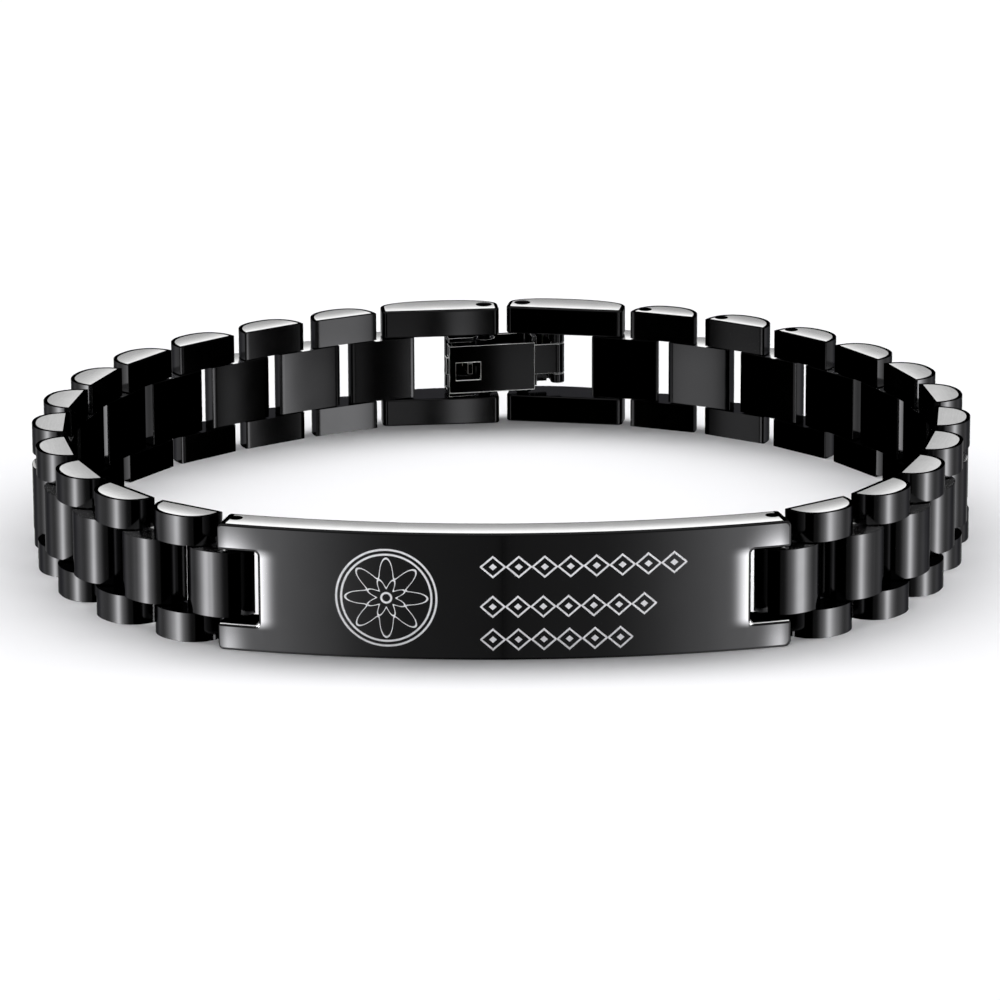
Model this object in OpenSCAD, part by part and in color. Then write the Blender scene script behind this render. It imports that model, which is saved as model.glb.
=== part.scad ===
// Link band bracelet with a curved name plate and a fold-over clasp.
// It stands on its lower edge, closed into a loop: +Z runs across the band,
// the plate is towards -Y and the clasp is at the back.

/* [Band] */
// Width of the band, which is its height as it stands
band_w = 10; // [9.6:0.1:12]
// Width of one outer bar
bar_w = 2.3; // [2:0.1:2.4]
// Gap between an outer bar and the centre link
bar_gap = 0.1; // [0.08:0.01:0.15]

/* [Half-round link] */
// Length of a link along its flat side
link_l = 5.7; // [5.6:0.05:5.8]
// Thickness of a link at its crown
link_t = 2.9; // [2.8:0.05:3]
// Radius of the domed outer side
dome_r = 3; // [2.95:0.05:3.4]
// Rounding of the two corners of the flat side
link_corner_r = 0.5; // [0.3:0.1:0.6]
// Distance of the pins from the flat side
pin_in = 1.2; // [1.15:0.01:1.25]
// Distance between the two pins of an outer link
outer_pitch = 3.9; // [3.88:0.01:3.94]
// Distance between the two pins of a centre link
centre_pitch = 3; // [2.98:0.01:3.02]
// Distance between the two pins of the first centre link, in the plate's notch
first_pitch = 2.7; // [2.68:0.01:2.72]

/* [Pins] */
// Diameter of a link pin
pin_d = 1; // [0.8:0.1:1]
// Radial play of a pin in its hole
pin_play = 0.05; // [0.03:0.01:0.07]
// Depth of a visible pin end below the upper edge
pin_sink = 0.4; // [0.2:0.1:0.8]
// Metal left under a blind pin hole
pin_floor = 0.6; // [0.4:0.1:1]

/* [Plate] */
// Length of the plate over its outer face
plate_l = 43.7; // [43.4:0.1:44]
// Radius of the plate's outer face
plate_r = 78; // [76:1:80]
// Thickness of the plate
plate_t = 2.9; // [2.8:0.05:3]
// Distance of the end pins from the middle of the plate
plate_pin_x = 20.4; // [20.35:0.01:20.45]
// Distance of the end pins from the inner face
plate_pin_in = 1.1; // [1.05:0.01:1.15]
// Width of an arm beside the notch
arm_w = 2.1; // [1.9:0.1:2.2]
// Depth of the notch that takes the first centre link
notch_d = 3.2; // [3.1:0.1:3.4]

/* [Clasp links] */
// Length of a clasp link
clasp_link_l = 9.9; // [9.8:0.1:10]
// Thickness of a clasp link at its crown
clasp_link_t = 3.4; // [3.3:0.1:3.5]
// Distance between the two pins of a clasp link
clasp_link_pitch = 7.6; // [7.58:0.01:7.64]
// Distance of the clasp pins from the flat side
clasp_pin_in = 1.6; // [1.55:0.01:1.65]

/* [Clasp] */
// Distance between the two clasp pins
clasp_pitch = 3.3; // [3.28:0.01:3.32]
// Turn of the closed clasp against the plate
clasp_turn = 10; // [9:0.5:11]
// Thickness of the clasp's sheet metal
sheet_t = 0.4; // [0.35:0.05:0.4]
// Height of the cover plate
cover_h = 4.1; // [3.9:0.1:4.2]
// Distance of the cover's face from the line through the clasp pins
cover_face = 2.25; // [2.2:0.05:2.3]
// Distance of the base's outer face from the same line
base_back = 1; // [0.98:0.01:1.02]
// Radius of the hinge knuckles
knuckle_r = 0.58; // [0.55:0.01:0.6]
// Radius of the hinge pin
hinge_pin_r = 0.3; // [0.25:0.01:0.3]

/* [Hidden] */
// Bends of the loop from the plate pin to the clasp link, a row for each stretch
JOINTS = 0;
DEGREES = 1;
left_bends = [[1, 9.25], [2, 9.25], [3, 8], [4, 5.5], [4, 5.75], [4, 7], [4, 3.5], [1, 6]];
right_bends = [[1, 11], [2, 9], [3, 8.5], [4, 3.75], [4, 7], [4, 6], [4, 5.5], [1, 6]];

LEFT = -1;
RIGHT = 1;
link_count = 11;
steel = [0.07, 0.07, 0.075];
bright_steel = [0.25, 0.25, 0.26];

$fn = 48;
plate_fn = 720;
pin_r = pin_d / 2;
hole_r = pin_r + pin_play;
centre_w = band_w - 2 * (bar_w + bar_gap);
mid_z = band_w / 2;
// Spare length of a cutting tool beyond what it cuts, and a length that cuts right through
past = 1;
right_through = band_w + 2 * past;

function unit(angle) = [cos(angle), sin(angle)];
function turned(p, angle) = [p.x * cos(angle) - p.y * sin(angle), p.x * sin(angle) + p.y * cos(angle)];
function bearing(a, b) = atan2(b.y - a.y, b.x - a.x);
function mirrored(p) = [-p.x, p.y];
function two_digits(n) = n < 10 ? str("0", n) : str(n);
// Points along an arc, both ends included
function arc(centre, r, from, to, steps) =
    [for (i = [0:steps]) centre + r * unit(from + (to - from) * i / steps)];

// Plate: its middle line is the arc on which the end pins lie
plate_pin_r = plate_r - plate_t + plate_pin_in;
plate_pin_angle = asin(plate_pin_x / plate_pin_r);
plate_centre_y = plate_pin_r * cos(plate_pin_angle);
plate_end_angle = asin(plate_l / 2 / plate_r);

// Pins of one side, drawn as the right side: the walk starts at the plate pin, and
// segment k is a centre link when k is even and an outer link when it is odd
segment_count = 2 * link_count + 1;
function pitch(k) = k == 0 ? first_pitch : k % 2 == 0 ? centre_pitch : outer_pitch;
function bend_list(rows) = [for (row = rows) for (j = [1:row[JOINTS]]) row[DEGREES]];
function sum_to(list, k) = k < 0 ? 0 : list[k] + sum_to(list, k - 1);
function headings(rows) =
    let (bends = bend_list(rows))
    [for (k = [0:segment_count - 1]) plate_pin_angle + sum_to(bends, k)];
function walk(heading, k) =
    k == 0 ? [plate_pin_x, 0] : walk(heading, k - 1) + pitch(k - 1) * unit(heading[k - 1]);
function walked(heading) = [for (k = [0:segment_count]) walk(heading, k)];

left_headings = headings(left_bends);
right_headings = headings(right_bends);
left_pins = walked(left_headings);
right_pins = walked(right_headings);
function heading_of(side, k) = side == LEFT ? left_headings[k] : right_headings[k];
function pin_of(side, k) = side == LEFT ? left_pins[k] : right_pins[k];

// Clasp: its two pins close the loop, each at one clasp link's length from the band
function apex(a, b, r) =
    let (half = (b - a) / 2, rise = sqrt(r * r - half * half))
    a + half + rise * [-half.y, half.x] / norm(half);
clasp_step = clasp_pitch * unit(clasp_turn);
left_last = mirrored(pin_of(LEFT, segment_count));
right_last = pin_of(RIGHT, segment_count);
left_clasp_pin = apex(left_last, right_last - clasp_step, clasp_link_pitch);
right_clasp_pin = left_clasp_pin + clasp_step;
clasp_mid = (left_clasp_pin + right_clasp_pin) / 2;

// Clasp link in its own frame, drawn as the right side: the band pin is at the origin,
// +X runs along the flat to the clasp and the flat is at +Y
clasp_link_tilt = asin((clasp_pin_in - pin_in) / clasp_link_pitch);
clasp_pin_x = clasp_link_pitch * cos(clasp_link_tilt);
clasp_pin_y = pin_in - clasp_pin_in;
clasp_link_inner_r = 0.45;
clasp_link_outer_r = 1.1;
clasp_crown_r = 13;
function clasp_link_outline() =
    let (
        mid_x = clasp_pin_x / 2,
        crown_y = pin_in - clasp_link_t + clasp_crown_r,
        reach = clasp_crown_r - clasp_link_outer_r,
        inner_x = clasp_link_l / 2 - clasp_link_inner_r,
        inner_y = pin_in - clasp_link_inner_r,
        outer_x = clasp_link_l / 2 - clasp_link_outer_r,
        slope = acos(outer_x / reach),
        outer_y = crown_y - reach * sin(slope),
        crown_gap = (90 - slope) / 4
    )
    concat(
        arc([mid_x - inner_x, inner_y], clasp_link_inner_r, 180, 90, 3),
        arc([mid_x + inner_x, inner_y], clasp_link_inner_r, 90, 0, 3),
        arc([mid_x + outer_x, outer_y], clasp_link_outer_r, 0, -slope, 6),
        arc([mid_x, crown_y], clasp_crown_r, -slope - crown_gap, slope + crown_gap - 180, 6),
        arc([mid_x - outer_x, outer_y], clasp_link_outer_r, slope - 180, -180, 6)
    );
function clasp_link_start(side) = pin_of(side, segment_count);
function clasp_link_stop(side) = side == LEFT ? mirrored(left_clasp_pin) : right_clasp_pin;
function clasp_link_angle(side) =
    bearing(clasp_link_start(side), clasp_link_stop(side)) + clasp_link_tilt;

// Home: the loop's box is centred on the Z axis
function dome_centre(side, k) =
    (pin_of(side, k) + pin_of(side, k + 1)) / 2 + turned([0, pin_in - link_t + dome_r], heading_of(side, k));
function reach_x(side) = max([for (k = [0:segment_count - 1]) dome_centre(side, k).x]) + dome_r;
function reach_y(side) =
    max([for (p = clasp_link_outline()) (clasp_link_start(side) + turned(p, clasp_link_angle(side))).y]);
home_x = (reach_x(LEFT) - reach_x(RIGHT)) / 2;
home_y = -(plate_centre_y - plate_r + max(reach_y(LEFT), reach_y(RIGHT))) / 2;

// Nodes
left_outer = [for (n = [1:link_count]) str("left_outer_", two_digits(n))];
right_outer = [for (n = [1:link_count]) str("right_outer_", two_digits(n))];
left_centre = [for (n = [1:link_count + 1]) str("left_centre_", two_digits(n))];
right_centre = [for (n = [1:link_count + 1]) str("right_centre_", two_digits(n))];
// Outer links of the right side whose clasp-side pin can be pushed out to shorten the band
free_pin_links = [9, 10, 11];
free_pins = [for (i = [1:len(free_pin_links)]) str("adjusting_pin_", i)];
function has_free_pin(side, n) = side == RIGHT && len([for (m = free_pin_links) if (m == n) m]) > 0;

module home() {
    translate([home_x, home_y, 0]) children();
}

module handed(side) {
    if (side == LEFT) mirror([1, 0, 0]) children();
    else children();
}

module from_below() {
    translate([0, 0, -past]) children();
}

// Frame of segment k: the origin is midway between its pins, the flat is at +Y
module at_segment(side, k) {
    middle = (pin_of(side, k) + pin_of(side, k + 1)) / 2;
    home()
        handed(side)
            translate([middle.x, middle.y, 0])
                rotate([0, 0, heading_of(side, k)])
                    children();
}

module half_round() {
    corner_x = link_l / 2 - link_corner_r;
    corner_y = pin_in - link_corner_r;
    intersection() {
        translate([0, pin_in - link_t + dome_r]) circle(dome_r);
        union() {
            translate([-link_l / 2, corner_y - 2 * link_t]) square([link_l, 2 * link_t]);
            translate([-corner_x, corner_y - link_t]) square([2 * corner_x, link_t + link_corner_r]);
            for (x = [-corner_x, corner_x])
                translate([x, corner_y]) circle(link_corner_r);
        }
    }
}

// A loose pin, from the floor of its blind hole to below the upper edge
module loose_pin() {
    color(bright_steel)
        translate([0, 0, pin_floor + pin_play])
            cylinder(r = pin_r, h = band_w - pin_sink - pin_floor - pin_play);
}

module loose_pin_hole() {
    translate([0, 0, pin_floor]) cylinder(r = hole_r, h = band_w - pin_floor + past);
}

// The part of a fixed pin that shows between the two bars
module fixed_pin() {
    translate([0, 0, bar_w / 2]) cylinder(r = pin_r, h = band_w - bar_w);
}

module upper_and_lower() {
    linear_extrude(bar_w) children();
    translate([0, 0, band_w - bar_w]) linear_extrude(bar_w) children();
}

// Two half-round bars held together by their pins
module outer_link(side, n) {
    loose = has_free_pin(side, n);
    color(steel)
        at_segment(side, 2 * n - 1)
            difference() {
                union() {
                    upper_and_lower() half_round();
                    translate([-outer_pitch / 2, 0, 0]) fixed_pin();
                    if (!loose) translate([outer_pitch / 2, 0, 0]) fixed_pin();
                }
                if (loose) translate([outer_pitch / 2, 0, 0]) loose_pin_hole();
            }
}

// The first centre link's far pin sits closer to its middle, which moves the link away from the plate
module centre_link(side, n) {
    span = pitch(2 * n - 2);
    color(steel)
        at_segment(side, 2 * n - 2)
            translate([0, 0, bar_w + bar_gap])
                difference() {
                    translate([(centre_pitch - span) / 2, 0, 0]) linear_extrude(centre_w) half_round();
                    for (x = [-span / 2, span / 2])
                        translate([x, 0, -past]) cylinder(r = hole_r, h = centre_w + 2 * past);
                }
}

module adjusting_pin(n) {
    at_segment(RIGHT, 2 * n - 1) translate([outer_pitch / 2, 0, 0]) loose_pin();
}

module plate_pin(side) {
    home() handed(side) translate([plate_pin_x, 0, 0]) loose_pin();
}

module plate_wedge() {
    far = 2 * plate_r;
    polygon([[0, 0], far * [-sin(plate_end_angle), -cos(plate_end_angle)],
             far * [sin(plate_end_angle), -cos(plate_end_angle)]]);
}

module plate_notch() {
    rotate([0, 0, plate_end_angle])
        translate([-notch_d, -plate_r - past, arm_w])
            cube([notch_d + past, plate_t + 2 * past, band_w - 2 * arm_w]);
}

module id_plate() {
    color(steel)
        home()
            difference() {
                translate([0, plate_centre_y, 0])
                    intersection() {
                        difference() {
                            cylinder(r = plate_r, h = band_w, $fn = plate_fn);
                            from_below() cylinder(r = plate_r - plate_t, h = right_through, $fn = plate_fn);
                        }
                        from_below() linear_extrude(right_through) plate_wedge();
                    }
                for (side = [LEFT, RIGHT])
                    handed(side) {
                        translate([0, plate_centre_y, 0]) plate_notch();
                        translate([plate_pin_x, 0, 0]) loose_pin_hole();
                    }
            }
}

// Two long bars held together by the pin on the band's side
module clasp_link(side) {
    start = clasp_link_start(side);
    color(steel)
        home()
            handed(side)
                translate([start.x, start.y, 0])
                    rotate([0, 0, clasp_link_angle(side)])
                        difference() {
                            union() {
                                upper_and_lower() polygon(clasp_link_outline());
                                fixed_pin();
                            }
                            translate([clasp_pin_x, clasp_pin_y, 0]) loose_pin_hole();
                        }
}

module clasp_pin(side) {
    stop = clasp_link_stop(side);
    home() handed(side) translate([stop.x, stop.y, 0]) loose_pin();
}

// Frame of the clasp: the origin is midway between its pins, +X runs to the right pin
// and -Y faces the wrist. Every size below is in this frame.
module in_clasp() {
    home() translate([clasp_mid.x, clasp_mid.y, 0]) rotate([0, 0, clasp_turn]) children();
}

// A block between two corners given in the plan, centred on the band's middle height
module block(from, to, height, rise = 0) {
    translate([from.x, from.y, mid_z + rise - height / 2]) cube([to.x - from.x, to.y - from.y, height]);
}

base_left = -4.9;
base_right = 3.85;
base_inner = base_back - sheet_t;
base_middle = base_back - sheet_t / 2;
cover_play = 0.1;
base_h = cover_h + 2 * cover_play;
// Side walls that guide the cover's free end
guide_t = 0.4;
guide_right = -2.5;
guide_inner = -1.4;
guide_bevel = 0.4;
// Barrel of the base round the left clasp pin
barrel_r = 0.9;
// Wall that holds the right clasp pin while the band is pulled
hook_x = 2.35;
hook_inner = -0.7;
// Post that snaps into the cover's window
post_x = [-3.4, -3.0];
post_inner = -2.05;
post_h = 0.9;
// Hinge of the cover at the right end of the base
hinge = [4.5, -0.8];
hinge_h = 2.6;
hinge_rise = 0.3;
hinge_side_play = 0.05;
lower_ear_h = 0.8;
upper_ear_h = 0.9;
ear_half_w = 0.54;
hinge_low = hinge_rise - hinge_h / 2 - hinge_side_play - lower_ear_h;
hinge_high = hinge_rise + hinge_h / 2 + hinge_side_play + upper_ear_h;
hinge_pin_play = 0.03;
hinge_pin_inset = 0.1;
// Tongue that carries the hinge's ears, a step inward from the base
tongue_inner = 0.25;
tongue_middle = tongue_inner + sheet_t / 2;

module ear(low, high) {
    block([hinge.x - ear_half_w, hinge.y], [hinge.x + ear_half_w, tongue_middle],
          high - low, (high + low) / 2);
    translate([hinge.x, hinge.y, mid_z + low]) cylinder(r = knuckle_r, h = high - low);
}

module tongue() {
    high = hinge_high - hinge_low;
    rise = (hinge_high + hinge_low) / 2;
    block([base_right - sheet_t, tongue_inner], [base_right, base_middle], high, rise);
    block([base_right - sheet_t, tongue_inner], [hinge.x + ear_half_w, tongue_inner + sheet_t], high, rise);
}

module guide_wall() {
    linear_extrude(guide_t)
        polygon([[base_left, base_back], [base_left, guide_inner], [guide_right - guide_bevel, guide_inner],
                 [guide_right, guide_inner + guide_bevel], [guide_right, base_back]]);
}

module clasp_base() {
    color(steel)
        in_clasp()
            difference() {
                union() {
                    block([base_left, base_inner], [base_right, base_back], base_h);
                    for (z = [mid_z - base_h / 2 - guide_t, mid_z + base_h / 2])
                        translate([0, 0, z]) guide_wall();
                    translate([-clasp_pitch / 2, 0, mid_z - base_h / 2]) cylinder(r = barrel_r, h = base_h);
                    block([hook_x, hook_inner], [hook_x + sheet_t, base_middle], base_h);
                    block([post_x[0], post_inner], [post_x[1], base_middle], post_h);
                    tongue();
                    ear(hinge_low, hinge_low + lower_ear_h);
                    ear(hinge_high - upper_ear_h, hinge_high);
                }
                translate([-clasp_pitch / 2, 0, -past]) cylinder(r = hole_r, h = right_through);
                translate([hinge.x, hinge.y, -past])
                    cylinder(r = hinge_pin_r + hinge_pin_play, h = right_through);
            }
}

cover_left = -5.0;
cover_right = 2.3;
cover_inner = -cover_face + sheet_t;
lip_t = 0.35;
lip_back = -1.0;
nail_reach = 0.25;
nail_h = 1.5;
nail_rise = 0.35;
nail_y = [-2.1, -1.3];
window_x = [-4.45, -2.35];
window_h = 1.5;
window_rise = -0.15;
strap_y = [-1.3, -0.9];
step_x = 1.9;

module clasp_cover() {
    color(steel)
        in_clasp()
            difference() {
                union() {
                    block([cover_left, -cover_face], [cover_right, cover_inner], cover_h);
                    block([cover_left, -cover_face], [cover_left + lip_t, lip_back], cover_h);
                    block([cover_left - nail_reach, nail_y[0]], [cover_left + lip_t / 2, nail_y[1]],
                          nail_h, nail_rise);
                    block([step_x, -cover_face], [cover_right, strap_y[1]], hinge_h, hinge_rise);
                    block([step_x, strap_y[0]], [hinge.x, strap_y[1]], hinge_h, hinge_rise);
                    translate([hinge.x, hinge.y, mid_z + hinge_rise - hinge_h / 2])
                        cylinder(r = knuckle_r, h = hinge_h);
                }
                block([window_x[0], -cover_face - past], [window_x[1], lip_back], window_h, window_rise);
                translate([hinge.x, hinge.y, -past]) cylinder(r = hinge_pin_r + pin_play, h = right_through);
            }
}

module clasp_hinge_pin() {
    color(bright_steel)
        in_clasp()
            translate([hinge.x, hinge.y, mid_z + hinge_low + hinge_pin_inset])
                cylinder(r = hinge_pin_r, h = hinge_high - hinge_low - 2 * hinge_pin_inset);
}

id_plate();
plate_pin(LEFT);  // left_plate_pin
plate_pin(RIGHT);  // right_plate_pin
for (n = [1:link_count]) {
    outer_link(LEFT, n);
    outer_link(RIGHT, n);
}
for (n = [1:link_count + 1]) {
    centre_link(LEFT, n);
    centre_link(RIGHT, n);
}
for (i = [0:len(free_pins) - 1])
    adjusting_pin(free_pin_links[i]);
clasp_link(LEFT);  // left_clasp_link
clasp_link(RIGHT);  // right_clasp_link
clasp_pin(LEFT);  // left_clasp_pin
clasp_pin(RIGHT);  // right_clasp_pin
clasp_base();
clasp_cover();
clasp_hinge_pin();
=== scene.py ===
# Looks of the black link bracelet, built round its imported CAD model.
import math

import bpy
from mathutils import Matrix, Vector


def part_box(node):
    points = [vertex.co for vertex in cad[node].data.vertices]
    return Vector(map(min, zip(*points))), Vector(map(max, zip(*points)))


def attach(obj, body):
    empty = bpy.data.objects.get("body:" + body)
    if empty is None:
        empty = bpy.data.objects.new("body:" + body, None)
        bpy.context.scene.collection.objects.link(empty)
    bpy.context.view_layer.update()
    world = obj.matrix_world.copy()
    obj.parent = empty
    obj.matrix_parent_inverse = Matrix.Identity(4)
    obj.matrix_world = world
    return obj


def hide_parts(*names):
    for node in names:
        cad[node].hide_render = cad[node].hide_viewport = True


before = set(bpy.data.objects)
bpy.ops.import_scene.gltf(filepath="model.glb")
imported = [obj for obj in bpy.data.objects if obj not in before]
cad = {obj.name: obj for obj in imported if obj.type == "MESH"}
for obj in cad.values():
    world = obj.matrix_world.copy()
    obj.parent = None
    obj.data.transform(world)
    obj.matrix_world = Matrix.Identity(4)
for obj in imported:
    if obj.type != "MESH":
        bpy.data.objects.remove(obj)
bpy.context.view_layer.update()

millimetre = 0.001
degrees = 180 / math.pi
near = 0.01  # millimetres within which a point counts as lying on a face
mergeGap = 0.004  # points closer than this, in millimetres, become one
black, white, coldWhite = (0, 0, 0, 1), (1, 1, 1, 1), (1, 1, 1.03, 1)


# Handling of objects and of what is selected

def activate(piece):
    if bpy.context.object and bpy.context.object.mode != "OBJECT":
        bpy.ops.object.mode_set(mode="OBJECT")
    bpy.ops.object.select_all(action="DESELECT")
    piece.select_set(True)
    bpy.context.view_layer.objects.active = piece


def nothingSelected():
    if bpy.context.object and bpy.context.object.mode != "OBJECT":
        bpy.ops.object.mode_set(mode="OBJECT")
    bpy.ops.object.select_all(action="DESELECT")


def applyPlace(piece):
    activate(piece)
    bpy.ops.object.transform_apply(location=True, rotation=True, scale=True)


def block(name, low, high):
    nothingSelected()
    low, high = Vector(low), Vector(high)
    bpy.ops.mesh.primitive_cube_add(size=1, location=(low + high) / 2, scale=high - low)
    piece = bpy.context.object
    piece.name = name
    applyPlace(piece)
    return piece


def rod(name, radius, low, high, x=0, y=0, sides=40):
    nothingSelected()
    bpy.ops.mesh.primitive_cylinder_add(
        vertices=sides, radius=radius, depth=high - low, location=(x, y, (low + high) / 2))
    piece = bpy.context.object
    piece.name = name
    applyPlace(piece)
    return piece


def chooseEdges(piece, test):
    # leaves the piece in edit mode with only the edges selected whose two ends pass the test
    activate(piece)
    bpy.context.tool_settings.mesh_select_mode = (False, True, False)
    bpy.ops.object.mode_set(mode="EDIT")
    bpy.ops.mesh.select_all(action="DESELECT")
    bpy.ops.object.mode_set(mode="OBJECT")
    points = piece.data.vertices
    for edge in piece.data.edges:
        edge.select = test(points[edge.vertices[0]].co, points[edge.vertices[1]].co)
    bpy.ops.object.mode_set(mode="EDIT")


def upright(a, b):
    return abs(a.z - b.z) > 0.1


def roundEdges(piece, radius, segments, test, profile=0.5):
    chooseEdges(piece, test)
    bpy.ops.mesh.bevel(
        offset=radius, segments=segments, profile=profile, affect="EDGES", clamp_overlap=False)
    bpy.ops.mesh.select_all(action="SELECT")
    bpy.ops.mesh.remove_doubles(threshold=mergeGap)
    bpy.ops.object.mode_set(mode="OBJECT")


def cutAway(piece, cutter):
    activate(piece)
    cut = piece.modifiers.new("cut", "BOOLEAN")
    cut.operation = "DIFFERENCE"
    cut.solver = "EXACT"
    cut.object = cutter
    bpy.ops.object.modifier_apply(modifier=cut.name)
    bpy.data.objects.remove(cutter)


def join(pieces):
    activate(pieces[0])
    for piece in pieces:
        piece.select_set(True)
    bpy.ops.object.join()
    return bpy.context.object


def softenRims(piece, radius, segments=3, sharperThan=35, slot=2):
    # rims take the finish of one slot, and the broad faces keep their own direction in the shading
    activate(piece)
    bpy.ops.object.shade_smooth()
    rim = piece.modifiers.new("rim", "BEVEL")
    rim.width = radius
    rim.segments = segments
    rim.limit_method = "ANGLE"
    rim.angle_limit = math.radians(sharperThan)
    # slot 2, the default, is the darker rim polish: painted shade that makes the rims dark outlines
    rim.material = slot
    bpy.ops.object.modifier_apply(modifier=rim.name)
    evenShading(piece)


def evenShading(piece):
    # each corner's normal follows the larger of the faces that meet there
    activate(piece)
    shading = piece.modifiers.new("shading", "WEIGHTED_NORMAL")
    shading.weight = 75
    shading.keep_sharp = True
    bpy.ops.object.modifier_apply(modifier=shading.name)


def facesUpOrDown(face):
    return abs(face.normal.z) > 0.95


def brushedIfUpOrDown(face):
    return 1 if facesUpOrDown(face) else 0


def paint(piece, finishes, choose=brushedIfUpOrDown):
    # slot 0 is the polish, slot 1 the brushed edge of the band, slot 2 the black rim between them: a
    # darker polish, painted shade that makes the rims dark outlines
    for finish in finishes:
        piece.data.materials.append(finish)
    for face in piece.data.polygons:
        face.material_index = choose(face)


def atBandEdge(face, bandWidth):
    return abs(face.normal.z) > 0.999 and abs(face.center.z - bandWidth / 2) > bandWidth / 2 - near


def drawRimShade(piece, bandWidth, rimShadeWidth):
    # a narrow border of painted shade, in the darker rim polish, on the band's upper and lower edge,
    # made before any hole is cut
    activate(piece)
    bpy.context.tool_settings.mesh_select_mode = (False, False, True)
    bpy.ops.object.mode_set(mode="EDIT")
    bpy.ops.mesh.select_all(action="DESELECT")
    bpy.ops.object.mode_set(mode="OBJECT")
    for face in piece.data.polygons:
        face.select = atBandEdge(face, bandWidth)
    bpy.ops.object.mode_set(mode="EDIT")
    bpy.ops.mesh.inset(thickness=rimShadeWidth, depth=0)
    bpy.ops.object.mode_set(mode="OBJECT")
    for face in piece.data.polygons:
        if atBandEdge(face, bandWidth) and not face.select:
            face.material_index = 2


def mapPlan(piece, plan):
    # a map in the band's own directions: along it, and across its thickness from -1 outside to 1 inside
    layer = piece.data.uv_layers.get("plan") or piece.data.uv_layers.new(name="plan")
    points = piece.data.vertices
    for loop in piece.data.loops:
        layer.data[loop.index].uv = plan(points[loop.vertex_index].co)


# Shader maths

class Value:
    def __init__(self, graph, socket):
        self.graph, self.socket = graph, socket

    def maths(self, operation, *others):
        return self.graph.maths(operation, self, *others)

    def __add__(self, other): return self.maths("ADD", other)
    def __radd__(self, other): return self.graph.maths("ADD", other, self)
    def __sub__(self, other): return self.maths("SUBTRACT", other)
    def __rsub__(self, other): return self.graph.maths("SUBTRACT", other, self)
    def __mul__(self, other): return self.maths("MULTIPLY", other)
    def __rmul__(self, other): return self.graph.maths("MULTIPLY", other, self)
    def __truediv__(self, other): return self.maths("DIVIDE", other)
    def __neg__(self): return self.maths("MULTIPLY", -1.0)
    def __abs__(self): return self.maths("ABSOLUTE")
    def __lt__(self, other): return self.maths("LESS_THAN", other)
    def __gt__(self, other): return self.maths("GREATER_THAN", other)


class Graph:
    def __init__(self, tree):
        self.tree = tree
        tree.nodes.clear()

    def node(self, kind, settings=None, inputs=None):
        made = self.tree.nodes.new(kind)
        for name, value in (settings or {}).items():
            if name == "stops":
                ramp = made.color_ramp
                while len(ramp.elements) < len(value):
                    ramp.elements.new(0.5)
                for element, (place, shade) in zip(ramp.elements, value):
                    element.position = place
                    element.color = (shade, shade, shade, 1)
            else:
                setattr(made, name, value)
        for name, value in (inputs or {}).items():
            socket = made.inputs[name]
            if isinstance(value, Value):
                self.tree.links.new(value.socket, socket)
            elif hasattr(value, "is_output"):
                self.tree.links.new(value, socket)
            else:
                socket.default_value = value
        return made

    def value(self, socket):
        return Value(self, socket)

    def maths(self, operation, *terms):
        return self.value(self.node("ShaderNodeMath", {"operation": operation},
                                    dict(enumerate(terms))).outputs[0])

    def largest(self, *terms):
        result = terms[0]
        for term in terms[1:]:
            result = self.maths("MAXIMUM", result, term)
        return result

    def smooth(self, value, low, high, start=0.0, stop=1.0):
        made = self.node("ShaderNodeMapRange", {"interpolation_type": "SMOOTHSTEP"},
                         {0: value, 1: low, 2: high, 3: start, 4: stop})
        return self.value(made.outputs[0])

    def noise(self, vector, scale, detail=2.0, roughness=0.5):
        made = self.node("ShaderNodeTexNoise", {}, {"Vector": vector, "Scale": scale, "Detail": detail,
                                                    "Roughness": roughness})
        return self.value(made.outputs["Fac"])

    def stretched(self, vector, scale):
        return self.node("ShaderNodeMapping", {}, {"Vector": vector, "Scale": scale}).outputs[0]

    def shade(self, factor, dark, light):
        made = self.node("ShaderNodeMix", {"data_type": "RGBA"}, {0: factor, 6: dark, 7: light})
        return made.outputs[2]

    def bump(self, height, strength, distance):
        return self.node("ShaderNodeBump", {}, {"Height": height, "Strength": strength,
                                                "Distance": distance}).outputs[0]

    def surface(self, inputs):
        # a Principled surface, joined to the material's output
        shader = self.node("ShaderNodeBsdfPrincipled", {}, inputs)
        self.node("ShaderNodeOutputMaterial", {}, {"Surface": shader.outputs[0]})


def newMaterial(name):
    material = bpy.data.materials.new(name)
    material.use_nodes = True
    return material, Graph(material.node_tree)


def grey(level):
    return (level, level, level * 1.02, 1)


polish = {
    "shade": 0.05, "shadeSpread": 0.012, "grazing": 0.4, "roughness": 0.07,
    "smudges": 0.04, "smudgeScale": 420,
    "hairlines": 0.03, "hairlineDepth": 0.000002, "hairlineScale": (900, 900, 9000)}


def smudges(g, place, look):
    return g.noise(place, look["smudgeScale"], 3)


def blackShade(look, smudge):
    return look["shade"] + look["shadeSpread"] * (smudge - 0.5)


def makePolish(name, look):
    # black plated steel, mirror polished: faint smudges and hairline marks
    material, g = newMaterial(name)
    place = g.node("ShaderNodeTexCoord").outputs["Object"]
    smudge = smudges(g, place, look)
    hairline = g.noise(g.stretched(place, look["hairlineScale"]), 1, 4, 0.7)
    g.surface({
        "Base Color": g.shade(blackShade(look, smudge), black, coldWhite), "Metallic": 1.0,
        "Specular Tint": grey(look["grazing"]),
        "Roughness": look["roughness"] + look["smudges"] * smudge,
        "Normal": g.bump(hairline, look["hairlines"], look["hairlineDepth"])})
    return material


# the line scale is along the band and across it; the crown is how far the face bulges, in metres
brushed = {
    "shade": 0.66, "spread": 0.3, "lineShare": 0.6, "roughness": 0.1, "lineRoughness": 0.12,
    "lineScale": (0.35, 9, 1), "cloudScale": 700, "grain": 0.000001, "crown": 0.000085}


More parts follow.
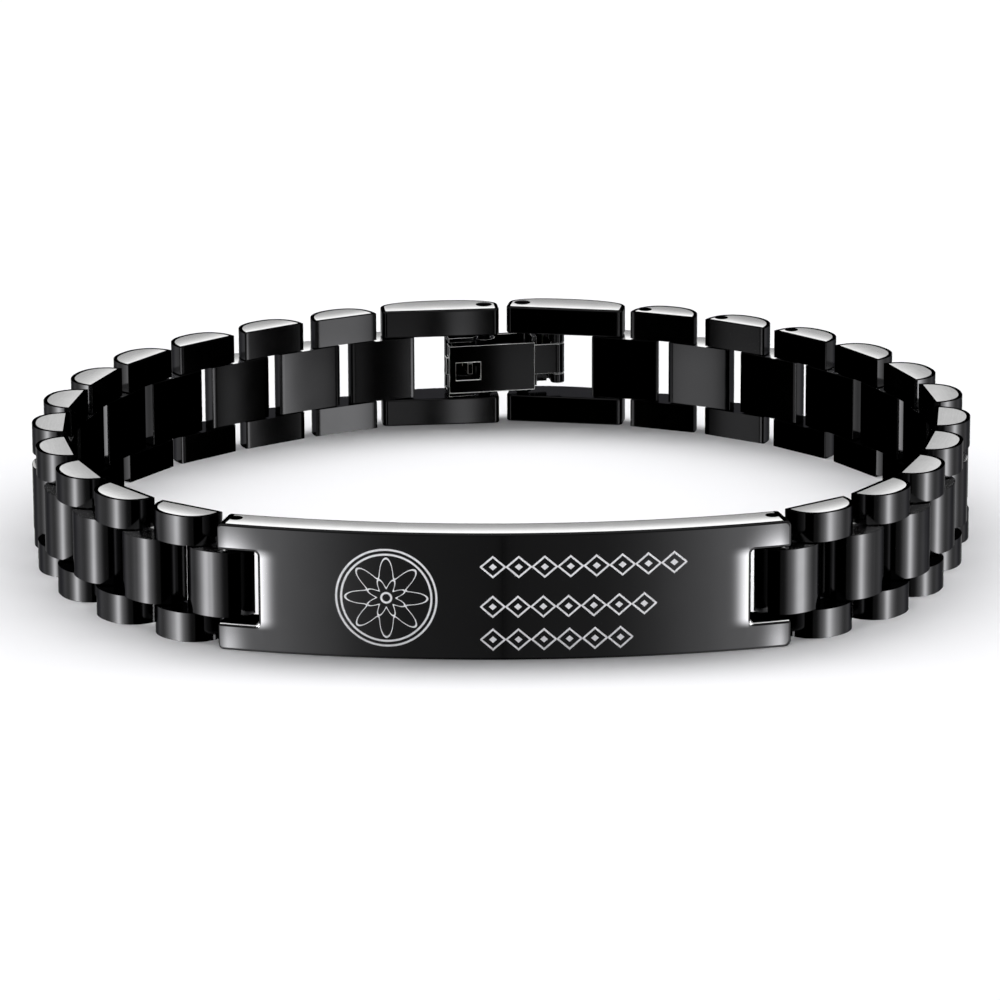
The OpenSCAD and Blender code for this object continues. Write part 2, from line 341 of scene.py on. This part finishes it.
def makeBrushed(name, look):
    # edges of the band: fine brush lines on a face that bulges a little, lighter than the polish
    material, g = newMaterial(name)
    place = g.node("ShaderNodeTexCoord").outputs["Object"]
    plan = g.node("ShaderNodeUVMap", {"uv_map": "plan"}).outputs[0]
    across = g.value(g.node("ShaderNodeSeparateXYZ", {}, {0: plan}).outputs[1])
    lines = g.noise(g.stretched(plan, look["lineScale"]), 1, 5, 0.75)
    cloud = g.noise(place, look["cloudScale"], 3)
    mottle = look["lineShare"] * lines + (1 - look["lineShare"]) * cloud
    level = look["shade"] + look["spread"] * (mottle - 0.5)
    g.surface({
        "Base Color": g.shade(level, black, white), "Metallic": 1.0,
        "Roughness": look["roughness"] + look["lineRoughness"] * lines,
        "Normal": g.bump(lines * look["grain"] - across * across * look["crown"], 1.0, 1.0)})
    return material


bareEdgeSheen = {
    "shade": 0.9, "spread": 0.2, "roughness": 0.35, "lineRoughness": 0.1, "lineScale": (6000, 500, 500)}


def makeBareEdgeSheen(name, look):
    # edges worn or cut down to the bare steel, lighter than the plating, which also paints a bright
    # highlight line along them
    material, g = newMaterial(name)
    place = g.node("ShaderNodeTexCoord").outputs["Object"]
    lines = g.noise(g.stretched(place, look["lineScale"]), 1, 3, 0.6)
    level = look["shade"] + look["spread"] * (lines - 0.5)
    g.surface({
        "Base Color": g.shade(level, black, white), "Metallic": 1.0,
        "Roughness": look["roughness"] + look["lineRoughness"] * lines})
    return material


# a darker copy of the polish for rims and borders: painted shade that makes them read as dark outlines
rimShadePolish = dict(polish, shade=0.016, shadeSpread=0.006, grazing=0.15)
polishMaterial = makePolish("blackPolish", polish)
brushedMaterial = makeBrushed("brushedEdge", brushed)
rimShadeMaterial = makePolish("paintedRimShade", rimShadePolish)
finishes = [polishMaterial, brushedMaterial, rimShadeMaterial]
print("materials of the links are made")


# Where a link sits: read off the flat face of its CAD node, +Y out of the flat towards the wrist

def linkPlace(name):
    mesh = cad[name].data
    walls = [f for f in mesh.polygons if abs(f.normal.z) < 0.01]
    areas = {}
    for face in walls:
        key = (round(face.normal.x, 2), round(face.normal.y, 2))
        areas[key] = areas.get(key, 0) + face.area
    best = max(areas, key=areas.get)
    faces = [f for f in walls
             if abs(f.normal.x - best[0]) < 0.02 and abs(f.normal.y - best[1]) < 0.02]
    inward = sum((f.normal * f.area for f in faces), Vector()).normalized()
    along = Vector((inward.y, -inward.x, 0))
    corners = [mesh.vertices[i].co for f in faces for i in f.vertices]
    ends = [c.dot(along) for c in corners]
    middle = along * (min(ends) + max(ends)) / 2 + inward * max(c.dot(inward) for c in corners)
    return Matrix(((along.x, inward.x, 0, middle.x), (along.y, inward.y, 0, middle.y),
                   (0, 0, 1, 0), (0, 0, 0, 1)))


def placeCopy(master, name, place, body, *nodes):
    nothingSelected()
    piece = master.copy()
    piece.data = master.data.copy()
    piece.name = name
    bpy.context.scene.collection.objects.link(piece)
    piece.matrix_world = place @ Matrix.Scale(millimetre, 4)
    applyPlace(piece)
    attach(piece, body)
    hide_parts(*nodes)


# Links, modelled in millimetres with the flat at y = 0 and the dome towards -Y

halfRound = {
    "length": 5.7, "thickness": 2.9, "profile": 0.547, "domeSteps": 20,
    "innerCorner": 0.5, "cornerSteps": 6, "firstChamfer": 0.75, "rim": 0.13, "rimShadeWidth": 0.32,
    "bandWidth": 10.0, "barWidth": 2.3, "centreLow": 2.4, "centreHigh": 7.6,
    # pins: distances from the link's middle, and how deep they lie under the flat
    "outerPin": 1.95, "centrePin": 1.5, "firstFarPin": 1.2, "pinDepth": 1.2,
    "pinRadius": 0.5, "pinSides": 24, "pinSeat": 0.2, "holeRadius": 0.55, "blindFloor": 0.6}


def roundDome(bar, sizes, halfLength):
    # the two outer edges are rounded until they all but meet at the top of the dome
    outward = near - sizes["thickness"]
    roundEdges(bar, halfLength - 0.001, sizes["domeSteps"],
               lambda a, b: max(a.y, b.y) < outward and upright(a, b), sizes["profile"])


def roundFlatCorners(bar, sizes):
    roundEdges(bar, sizes["innerCorner"], sizes["cornerSteps"],
               lambda a, b: min(a.y, b.y) > -near and upright(a, b))


def halfRoundBar(name, low, high):
    h = halfRound
    bar = block(name, (-h["length"] / 2, -h["thickness"], low), (h["length"] / 2, 0, high))
    roundDome(bar, h, h["length"] / 2)
    roundFlatCorners(bar, h)
    return bar


def edgeBars(makeBar, name):
    # a bar at each edge of the band
    h = halfRound
    return [makeBar(name, 0, h["barWidth"]),
            makeBar(name, h["bandWidth"] - h["barWidth"], h["bandWidth"])]


def barPlan(sizes):
    half = sizes["thickness"] / 2
    return lambda point: (point.x, (point.y + half) / half)


def finishEdgeBar(bar, sizes, hole=None):
    # with the blind hole of a loose pin where the hole's place is given
    h = halfRound
    paint(bar, finishes, lambda face: 1 if atBandEdge(face, h["bandWidth"]) else 0)
    # painted shade: a dark border round the bar's edge face
    drawRimShade(bar, h["bandWidth"], sizes["rimShadeWidth"])
    if hole:
        cutAway(bar, rod("hole", h["holeRadius"], h["blindFloor"], h["bandWidth"] + 1, *hole))
    softenRims(bar, sizes["rim"])
    mapPlan(bar, barPlan(sizes))


def pressedPin(x, depth):
    # crosses the centre link's space and ends a little inside the two bars
    h = halfRound
    low = h["barWidth"] - h["pinSeat"]
    pin = rod("pin", h["pinRadius"], low, h["bandWidth"] - low, x, -depth, h["pinSides"])
    paint(pin, finishes)
    return pin


def outerLink(name, looseEnd):
    h = halfRound
    bars = edgeBars(halfRoundBar, name)
    for bar in bars:
        finishEdgeBar(bar, h, (h["outerPin"], -h["pinDepth"]) if looseEnd else None)
    places = [-h["outerPin"]] if looseEnd else [-h["outerPin"], h["outerPin"]]
    return join(bars + [pressedPin(x, h["pinDepth"]) for x in places])


def chamferCorner(bar, end, chamfer, low, high):
    # a flat across the corner where the link's flat side meets its end, cut by a block turned by 45
    # degrees whose middle is one millimetre from the flat that it leaves
    corner = block("corner", (-1, -1, low - 1), (1, 1, high + 1))
    corner.rotation_euler = (0, 0, math.pi / 4)
    reach = math.sqrt(0.5) - chamfer / 2
    corner.location = (end * (halfRound["length"] / 2 + reach), reach, 0)
    applyPlace(corner)
    cutAway(bar, corner)


def centreLink(name, left=halfRound["centrePin"], right=halfRound["centrePin"], chamfer=0):
    h = halfRound
    bar = halfRoundBar(name, h["centreLow"], h["centreHigh"])
    for end in (-1, 1):
        if chamfer:
            chamferCorner(bar, end, chamfer, h["centreLow"], h["centreHigh"])
    for x in (-left, right):
        cutAway(bar, rod("hole", h["holeRadius"], 0, h["bandWidth"], x, -h["pinDepth"]))
    paint(bar, finishes)
    softenRims(bar, h["rim"])
    mapPlan(bar, barPlan(h))
    return bar


farPin, firstChamfer = halfRound["firstFarPin"], halfRound["firstChamfer"]
masters = {
    "outer": outerLink("outerMaster", False),
    "outerLoose": outerLink("outerLooseMaster", True),
    "centre": centreLink("centreMaster"),
    "leftFirst": centreLink("leftFirstMaster", left=farPin, chamfer=firstChamfer),
    "rightFirst": centreLink("rightFirstMaster", right=farPin, chamfer=firstChamfer)}
loosePinLinks = ("right_outer_09", "right_outer_10", "right_outer_11")
for side in ("left", "right"):
    for n in range(1, 12):
        node = f"{side}_outer_{n:02d}"
        master = masters["outerLoose" if node in loosePinLinks else "outer"]
        placeCopy(master, f"{side}OuterLink{n:02d}", linkPlace(node), "band", node)
    for n in range(1, 13):
        node = f"{side}_centre_{n:02d}"
        master = masters[f"{side}First" if n == 1 else "centre"]
        placeCopy(master, f"{side}CentreLink{n:02d}", linkPlace(node), "band", node)
print("links are placed")


# Clasp links: a squashed block whose outer edges are rounded, then drawn out to its length

claspLink = {
    "length": 9.9, "thickness": 3.4, "crown": 1.74, "profile": 0.54, "domeSteps": 24,
    "innerCorner": 0.45, "cornerSteps": 6, "rim": 0.13, "rimShadeWidth": 0.32,
    "pinReach": 3.79, "pinDepth": 1.6, "bandPinDepth": 1.2}


def claspBar(name, low, high):
    c = claspLink
    bar = block(name, (-c["crown"], -c["thickness"], low), (c["crown"], 0, high))
    roundDome(bar, c, c["crown"])
    activate(bar)
    bar.scale = (c["length"] / 2 / c["crown"], 1, 1)
    applyPlace(bar)
    roundFlatCorners(bar, c)
    return bar


def claspLinkMaster(name, claspEnd):
    c = claspLink
    bars = edgeBars(claspBar, name)
    for bar in bars:
        finishEdgeBar(bar, c, (claspEnd * c["pinReach"], -c["pinDepth"]))
    return join(bars + [pressedPin(-claspEnd * c["pinReach"], c["bandPinDepth"])])


for side, claspEnd in (("left", -1), ("right", 1)):
    master = claspLinkMaster(f"{side}ClaspMaster", claspEnd)
    placeCopy(master, f"{side}ClaspLink", linkPlace(f"{side}_clasp_link"), "band", f"{side}_clasp_link")
    bpy.data.objects.remove(master)
for master in masters.values():
    bpy.data.objects.remove(master)


# Loose pins, each where its CAD node stands

loosePins = {"rim": 0.12, "sides": 32}


def loosePin(name, radius, low, high):
    pin = rod(name, radius, low, high, sides=loosePins["sides"])
    paint(pin, finishes, lambda face: 0)
    softenRims(pin, loosePins["rim"])
    return pin


for node in ("left_plate_pin", "right_plate_pin", "adjusting_pin_1", "adjusting_pin_2",
             "adjusting_pin_3", "left_clasp_pin", "right_clasp_pin"):
    low, high = (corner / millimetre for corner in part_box(node))
    pin = loosePin("pinMaster", (high.x - low.x) / 2, low.z, high.z)
    words = node.split("_")
    name = words[0] + "".join(word.capitalize() for word in words[1:])
    x, y = ((low[axis] + high[axis]) / 2 * millimetre for axis in (0, 1))
    placeCopy(pin, name, Matrix.Translation((x, y, 0)), "band", node)
    bpy.data.objects.remove(pin)
print("clasp links and pins are placed")


# Name plate: a bar's end face spun round the wrist, with a notch cut into each end

plate = {
    "radius": 78.0, "thickness": 2.9, "length": 43.7, "width": 10.0, "steps": 36, "outerCorner": 0.4,
    "notchDepth": 3.2, "arm": 2.1, "notchCorner": 0.3, "notchRim": 0.25, "rim": 0.17, "rimShadeWidth": 0.26,
    "pinX": 20.4, "pinDepth": 1.1, "holeRadius": 0.55, "blindFloor": 0.6}
endAngle = math.asin(plate["length"] / 2 / plate["radius"])


def plateBody():
    p = plate
    middle = p["radius"] - p["thickness"] / 2
    nothingSelected()
    bpy.ops.mesh.primitive_plane_add(size=1, location=(0, 0, 0))
    body = bpy.context.object
    body.name = "namePlate"
    body.scale = (p["thickness"], p["width"], 1)
    applyPlace(body)
    body.rotation_euler = (math.pi / 2, 0, math.pi / 2 - endAngle)
    body.location = (-middle * math.sin(endAngle), -middle * math.cos(endAngle), p["width"] / 2)
    applyPlace(body)
    activate(body)
    bpy.ops.object.mode_set(mode="EDIT")
    bpy.ops.mesh.select_all(action="SELECT")
    bpy.ops.mesh.spin(
        steps=p["steps"], dupli=False, angle=-2 * endAngle, center=(0, 0, 0), axis=(0, 0, 1))
    bpy.ops.mesh.select_all(action="SELECT")
    bpy.ops.mesh.remove_doubles(threshold=mergeGap)
    bpy.ops.mesh.normals_make_consistent(inside=False)
    bpy.ops.object.mode_set(mode="OBJECT")
    return body


def cutNotches(body):
    p = plate
    inner, outer = p["radius"] - p["thickness"] - 1, p["radius"] + 1
    for side in (-1, 1):
        notch = block("notch", (-p["notchDepth"], -outer, p["arm"]),
                      (p["notchDepth"], -inner, p["width"] - p["arm"]))
        roundEdges(notch, p["notchCorner"], 5, lambda a, b: abs(a.y - b.y) > 0.5)
        notch.rotation_euler = (0, 0, side * endAngle)
        applyPlace(notch)
        cutAway(body, notch)


def cutPinHoles(body):
    p = plate
    pinCircle = p["radius"] - p["thickness"] + p["pinDepth"]
    pinY = -math.sqrt(pinCircle ** 2 - p["pinX"] ** 2)
    for x in (-p["pinX"], p["pinX"]):
        cutAway(body, rod("hole", p["holeRadius"], p["blindFloor"], p["width"] + 1, x, pinY))
    activate(body)
    bpy.ops.object.shade_smooth_by_angle(angle=math.radians(35))


def plateEnd(point):
    # distance from the end face of the point's own half, along the plate, and from its outer face
    beyond = abs(point.x) * math.cos(endAngle) + point.y * math.sin(endAngle)
    return beyond, plate["radius"] - math.hypot(point.x, point.y)


def atPlateCorner(a, b):
    p = plate
    atEnd = max(abs(plateEnd(a)[0]), abs(plateEnd(b)[0])) < near
    atRim = max(a.z, b.z) < near or min(a.z, b.z) > p["width"] - near
    return atEnd and atRim


def atNotchFront(a, b):
    p = plate
    low, high = p["arm"] - near, p["width"] - p["arm"] + near
    return all(plateEnd(c)[0] > -p["notchDepth"] - near and abs(plateEnd(c)[1]) < 2 * near
               and low < c.z < high for c in (a, b))


engraving = {
    "line": 0.11, "lineFade": 0.05, "shade": 0.9, "roughness": 0.5, "frontLimit": -31.8,
    "rosette": (-8.9, 4.85), "rosetteSize": 3.8, "petals": 8,
    # rings of the rosette: share of its size, and how far the petals swing out
    "rings": ((1, 0), (0.9, 0), (0.62, 0.2), (0.3, -0.1), (0.1, 0)),
    # rows of lozenges: height, left end and right end
    "rows": ((7.4, -1.8, 13.9), (4.25, -1.8, 11.6), (1.65, -1.8, 9.8)),
    "rowPitch": 1.95, "rowHeight": 0.85,
    # in shares of a lozenge: where its line runs, the line's two fades, and the dot's
    "lozengeLine": 0.94, "lozengeFade": (0.09, 0.14), "dotFade": (0.28, 0.34)}


def engravingMask(g, x, y, z):
    # a rosette of rings on the left and three rows of lozenges, as thin light lines
    e = engraving
    half, size = e["line"] / 2, e["rosetteSize"]
    u, v = x - e["rosette"][0], z - e["rosette"][1]
    r = g.maths("SQRT", u * u + v * v)
    wave = g.maths("COSINE", g.maths("ARCTAN2", v, u) * e["petals"])
    mask = g.largest(*(
        g.smooth(abs(r - (wave * (size * swing) + size * share)), half, half + e["lineFade"], 1.0, 0.0)
        for share, swing in e["rings"]))
    for height, left, right in e["rows"]:
        pitch = (right - left) / round((right - left) / e["rowPitch"])
        phase = g.maths("FRACT", (x - left) / pitch) - 0.5
        du, dv = abs(phase) * pitch, abs(z - height)
        lozenge = du / (pitch / 2) + dv / e["rowHeight"]
        line = g.smooth(abs(lozenge - e["lozengeLine"]), *e["lozengeFade"], 1.0, 0.0)
        dot = g.smooth(lozenge, *e["dotFade"], 1.0, 0.0)
        inRow = (x > left) * (x < right)
        mask = g.largest(mask, g.largest(line, dot) * inRow)
    return mask * (y < e["frontLimit"])


# the face's polish: a little lighter than the links', with painted highlights round the notches and at
# the ends and a painted dark outline; a hump is given as its distance from the end or notch and its
# reach before and after that
plateFace = {
    "shade": 0.085, "smudgeScale": 300, "frontLimit": -29.0,
    "edgeShade": 0.012, "outline": (0.11, 0.19), "cornerReach": 0.55,
    "notchGlow": 0.95, "notchHump": (0.22, 0.1, 0.68), "notchSides": (-0.5, 0.4),
    "upperGlow": 0.66, "upperFrom": 0.2, "upperFade": 0.95, "upperHump": (0.95, 0.55, 1.5),
    "lowerGlow": 0.27, "lowerRise": 0.2, "lowerGain": (1.2, 0.65), "lowerHump": (0.85, 0.45, 0.95)}


def hump(g, value, peak, before, after):
    # one at the peak, fading on each side over its own distance
    away = value - peak
    steps = g.maths("MINIMUM", away, 0.0) / before + g.maths("MAXIMUM", away, 0.0) / after
    return g.maths("EXPONENT", -(steps * steps))


def faceShade(g, base, x, y, z):
    p, f = plate, plateFace
    end = p["length"] / 2
    wall = end - p["notchDepth"] * math.cos(endAngle)
    notchHalf = p["width"] / 2 - p["arm"]
    fromEnd, inward = end - abs(x), wall - abs(x)
    fromMiddle = abs(z - p["width"] / 2)
    low, high = (notchHalf + side for side in f["notchSides"])
    beside = g.smooth(fromMiddle, low, high, 1.0, 0.0)
    notch = hump(g, inward, *f["notchHump"]) * beside * (inward > 0.0)
    inArm = fromMiddle > notchHalf
    upper = g.maths("EXPONENT", (notchHalf + f["upperFrom"] - fromMiddle) / f["upperFade"])
    upper = upper * hump(g, fromEnd, *f["upperHump"])
    lower = hump(g, fromEnd, *f["lowerHump"]) * g.smooth(z, f["lowerRise"], p["arm"], *f["lowerGain"])
    upperHalf = z > p["width"] / 2
    arms = f["upperGlow"] * upper * upperHalf + f["lowerGlow"] * lower * (1 - upperHalf)
    # painted highlights: light round each notch and along the arms at the ends
    paintedGlow = (f["notchGlow"] * notch + arms * inArm) * (y < f["frontLimit"])
    # a painted dark outline, painted shade along the rim, follows the face's rounded corners
    reach = f["cornerReach"]
    besideEnd = g.maths("MAXIMUM", reach - fromEnd, 0.0)
    besideEdge = g.maths("MAXIMUM", reach - (p["width"] / 2 - fromMiddle), 0.0)
    fromOutline = reach - g.maths("SQRT", besideEnd * besideEnd + besideEdge * besideEdge)
    inside = g.smooth(fromOutline, *f["outline"])
    return g.maths("MINIMUM", (base + paintedGlow) * inside + f["edgeShade"] * (1 - inside), 1.0)


def makePlateMaterial():
    material, g = newMaterial("plateFace")
    place = g.node("ShaderNodeTexCoord").outputs["Object"]
    split = g.node("ShaderNodeSeparateXYZ", {}, {0: place})
    x, y, z = (g.value(s) / millimetre for s in split.outputs)
    mask = engravingMask(g, x, y, z)
    look = dict(polish, **plateFace)
    level = blackShade(look, smudges(g, place, look))
    face = g.shade(faceShade(g, level, x, y, z), black, coldWhite)
    g.surface({
        "Base Color": g.shade(mask, face, grey(engraving["shade"])), "Metallic": 1 - mask,
        "Specular Tint": grey(look["grazing"]),
        "Roughness": look["roughness"] + engraving["roughness"] * mask})
    return material


def plateSlot(face):
    # 0 face, 1 brushed edges, 2 black rims and floors in painted shade, 3 inner side and ends, 4 bare
    # steel lip of each notch's floor with a painted highlight line
    p = plate
    middle = face.center
    if facesUpOrDown(face):
        return 2
    outward = Vector((middle.x, middle.y, 0)).normalized()
    facing = face.normal.dot(outward)
    if facing > 0.995:
        return 0
    if face.normal.z > 0.1 and p["arm"] - 0.1 < middle.z < p["width"] / 2:
        return 4
    nearEnd = abs(middle.x) > p["length"] / 2 - p["notchDepth"] - 0.5
    return 2 if facing > 0.05 and nearEnd else 3


def platePlan(point):
    half = plate["thickness"] / 2
    middle = plate["radius"] - half
    return math.atan2(point.x, -point.y) * middle, (middle - math.hypot(point.x, point.y)) / half


body = plateBody()
roundEdges(body, plate["outerCorner"], 5, atPlateCorner)
# slot 4, each notch's lip, is bare steel lighter than the plating: wear, and a painted highlight line
paint(body, [makePlateMaterial(), brushedMaterial, rimShadeMaterial, polishMaterial,
             makeBareEdgeSheen("notchLipSheen", bareEdgeSheen)], lambda face: 1)
# painted shade: a dark border round the plate's upper and lower edge
drawRimShade(body, plate["width"], plate["rimShadeWidth"])
cutNotches(body)
roundEdges(body, plate["notchRim"], 4, atNotchFront)
for face in body.data.polygons:
    if not atBandEdge(face, plate["width"]):
        face.material_index = plateSlot(face)
softenRims(body, plate["rim"], sharperThan=40)
cutPinHoles(body)
evenShading(body)
mapPlan(body, platePlan)
low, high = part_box("id_plate")
body.scale = (millimetre,) * 3
body.location = ((low.x + high.x) / 2, low.y + plate["radius"] * millimetre, 0)
applyPlace(body)
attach(body, "band")
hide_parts("id_plate")
print("name plate is made")


# Clasp: folded sheet, from the CAD shapes with their edges broken

claspSheet = {"edge": 0.1, "segments": 2, "sharperThan": 50, "mergeGap": 0.001, "flatWithin": 1}
# the clasp's edges: worn bare steel, lighter than the plating, which also paints a bright highlight
# line along each edge
claspFinishes = finishes + [makeBareEdgeSheen("wornEdgeSheen", dict(bareEdgeSheen, shade=0.95))]


def brokenCopy(node, name, body):
    nothingSelected()
    piece = cad[node].copy()
    piece.data = cad[node].data.copy()
    piece.name = name
    piece.parent = None
    for key in list(piece.keys()):
        if key.startswith("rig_"):
            del piece[key]
    bpy.context.scene.collection.objects.link(piece)
    piece.data.materials.clear()
    piece.scale = (1 / millimetre,) * 3
    applyPlace(piece)
    activate(piece)
    bpy.ops.object.mode_set(mode="EDIT")
    bpy.ops.mesh.select_all(action="SELECT")
    bpy.ops.mesh.remove_doubles(threshold=claspSheet["mergeGap"])
    bpy.ops.mesh.dissolve_limited(angle_limit=math.radians(claspSheet["flatWithin"]))
    bpy.ops.object.mode_set(mode="OBJECT")
    paint(piece, claspFinishes, lambda face: 0)
    softenRims(piece, claspSheet["edge"], claspSheet["segments"], claspSheet["sharperThan"], slot=3)
    piece.scale = (millimetre,) * 3
    applyPlace(piece)
    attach(piece, body)
    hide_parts(node)


brokenCopy("clasp_base", "claspBase", "band")
brokenCopy("clasp_cover", "claspCover", "clasp_cover")
brokenCopy("clasp_hinge_pin", "claspHingePin", "band")
print("clasp is made")


# Camera at the photo's angle

camera = {
    "lens": 252.2, "sensor": 36, "clip": (0.01, 50), "distance": 0.5538,
    "elevation": 16.912, "azimuth": 0.126, "roll": -0.252, "aim": (-0.0002027, -0.0084503, 0.005)}


def makeCamera():
    c = camera
    e, a, roll = (math.radians(c[k]) for k in ("elevation", "azimuth", "roll"))
    forward = Vector((math.sin(a) * math.cos(e), math.cos(a) * math.cos(e), -math.sin(e)))
    right = Vector((math.cos(a), -math.sin(a), 0))
    up = right.cross(forward)
    right, up = (math.cos(roll) * right + math.sin(roll) * up,
                 math.cos(roll) * up - math.sin(roll) * right)
    nothingSelected()
    bpy.ops.object.camera_add()
    view = bpy.context.object
    view.data.lens = c["lens"]
    view.data.sensor_width = c["sensor"]
    view.data.clip_start, view.data.clip_end = c["clip"]
    place = Vector(c["aim"]) - forward * c["distance"]
    view.matrix_world = Matrix((
        (right.x, up.x, -forward.x, place.x), (right.y, up.y, -forward.y, place.y),
        (right.z, up.z, -forward.z, place.z), (0, 0, 0, 1)))
    bpy.context.scene.camera = view


makeCamera()


# Floor and light

studio = {
    "floorShade": 0.88, "floorSize": 6.0, "backdrop": 0.97,
    # light on the floor against the angle from the far horizon over the top to the near one, in degrees
    "sky": ((0, 0.1), (44, 0.1), (48, 1.2), (54, 2.6), (60, 4.2), (70, 3.8), (82, 3.0), (88, 0.36),
            (150, 0.36), (160, 0.6), (180, 0.45)),
    # reflected light below the horizon against the angle from the front, in degrees
    "panels": ((0, 0), (12, 0.04), (15, 0.09), (18, 0.18), (21, 0.35), (25, 0.6), (28, 0.9), (33, 1.2),
               (41, 2.4), (46, 4.2), (50, 6.4), (54, 8.4), (58, 9.0), (62, 7.6), (66, 5.6), (74, 2.8),
               (82, 1.5), (90, 0.8), (98, 0.5), (106, 0.6), (118, 1.0), (130, 0.8), (145, 0.3),
               (165, 0.2), (180, 0)),
    "panelTop": 8,
    # reflected ring above the horizon against the angle above it, in degrees
    "ring": ((0, 0.15), (4, 0.36), (9, 0.44), (13.5, 0.5), (17, 0.64), (20.5, 1.05), (24, 1.5),
             (29, 1.75), (45, 1.5), (60, 1.6), (75, 2.2), (90, 2.2)),
    "ringFront": 0.6, "frontEnds": (60, 120),
    "flag": {"size": 2, "nearest": -0.036, "top": 0.01},
    "gobo": {
        "across": 71.0, "along": 64.0, "top": -0.2, "depth": 100.0, "sides": 180,
        # strips of light on its inside: from and to, in degrees round from the front, and brightness
        "strips": ((-86, -78, 0.35), (-73.5, -65, 0.9), (-8, 8, 0.25), (12.3, 16.5, 0.95),
                   (38, 48, 0.25), (51.5, 53, 0.3), (60, 62, 0.5), (65.5, 76, 2.0), (76, 83, 0.55),
                   (90.3, 93.5, 0.4)),
        "stripEdge": 0.8, "lowerGain": 1.5, "lowerFrom": (-12.0, -8.0), "peak": 4.0}}


def matt(level):
    return {"Base Color": grey(level), "Roughness": 1.0, "Specular IOR Level": 0.0}


def makeFloor():
    nothingSelected()
    bpy.ops.mesh.primitive_plane_add(size=studio["floorSize"], location=(0, 0, 0))
    floor = bpy.context.object
    floor.name = "floor"
    material, g = newMaterial("paleFloor")
    g.surface(matt(studio["floorShade"]))
    floor.data.materials.append(material)
    floor.visible_glossy = False


def onlyInReflections(piece):
    piece.visible_camera = False
    piece.visible_diffuse = False
    piece.visible_shadow = False


def makeFlag():
    # a black flag in front of the band, below the horizon, keeps each side panel off the other half
    f = studio["flag"]
    nothingSelected()
    bpy.ops.mesh.primitive_plane_add(
        size=f["size"], location=(0, f["nearest"] - f["size"] / 2, f["top"] - f["size"] / 2),
        rotation=(0, math.pi / 2, 0))
    flag = bpy.context.object
    flag.name = "flag"
    applyPlace(flag)
    material, g = newMaterial("blackFlag")
    g.surface(matt(0))
    flag.data.materials.append(material)
    onlyInReflections(flag)


def makeGobo():
    # a black skirt below the floor, under the band, with the strips that the inner flats reflect
    o = studio["gobo"]
    nothingSelected()
    bpy.ops.mesh.primitive_cylinder_add(
        vertices=o["sides"], radius=0.5, depth=1, end_fill_type="NOTHING")
    gobo = bpy.context.object
    gobo.name = "gobo"
    gobo.scale = (o["across"] * millimetre, o["along"] * millimetre, o["depth"] * millimetre)
    gobo.location = (0, 0, (o["top"] - o["depth"] / 2) * millimetre)
    applyPlace(gobo)
    material, g = newMaterial("goboStrips")
    split = g.node("ShaderNodeSeparateXYZ", {}, {0: g.node("ShaderNodeTexCoord").outputs["Object"]})
    x, y, z = (g.value(s) / millimetre for s in split.outputs)
    turn = g.maths("ARCTAN2", x, -y) * degrees
    edge = o["stripEdge"]
    light = 0.0
    for start, stop, level in o["strips"]:
        within = g.smooth(turn, start - edge, start + edge)
        within = within * g.smooth(turn, stop - edge, stop + edge, 1.0, 0.0)
        light = light + within * (level / o["peak"])
    light = light * g.smooth(z, *o["lowerFrom"], o["lowerGain"], 1.0)
    g.surface(dict(matt(0), **{
        "Emission Color": g.shade(light, black, white), "Emission Strength": o["peak"]}))
    gobo.data.materials.append(material)
    onlyInReflections(gobo)


def brightness(g, stops, angle, widest):
    # a ramp of brightness against an angle in degrees, from 0 to the widest
    peak = max(level for place, level in stops)
    ramp = [(place / widest, level / peak) for place, level in stops]
    return peak * g.value(g.node("ShaderNodeValToRGB", {"stops": ramp}, {0: angle / widest}).outputs[0])


def makeWorld():
    # soft light from above and behind for the floor; side panels and a ring of sky for reflections
    s = studio
    world = bpy.data.worlds.new("studio")
    world.use_nodes = True
    world.cycles.sampling_method = "NONE"
    bpy.context.scene.world = world
    g = Graph(world.node_tree)
    split = g.node("ShaderNodeSeparateXYZ", {}, {0: g.node("ShaderNodeTexCoord").outputs["Generated"]})
    x, y, z = (g.value(o) for o in split.outputs)
    turn = abs(g.maths("ARCTAN2", x, -y)) * degrees
    rise = g.maths("ARCSINE", z) * degrees
    front = g.smooth(turn, *s["frontEnds"], s["ringFront"], 1.0)
    panels = brightness(g, s["panels"], turn, 180) * g.smooth(rise, 0, s["panelTop"], 1.0, 0.0)
    reflected = panels + brightness(g, s["ring"], rise, 90) * front
    sky = brightness(g, s["sky"], g.maths("ARCTAN2", z, y) * degrees, 180)
    path = g.node("ShaderNodeLightPath").outputs
    mirrorRay, softRay = g.value(path["Is Glossy Ray"]), g.value(path["Is Diffuse Ray"])
    strength = reflected * mirrorRay + sky * softRay + (1 - mirrorRay - softRay) * s["backdrop"]
    background = g.node("ShaderNodeBackground", {}, {"Color": white, "Strength": strength})
    g.node("ShaderNodeOutputWorld", {}, {"Surface": background.outputs[0]})


makeFloor()
makeFlag()
makeGobo()
makeWorld()
bpy.context.scene.view_settings.view_transform = "Standard"
print("camera, floor and light are set")
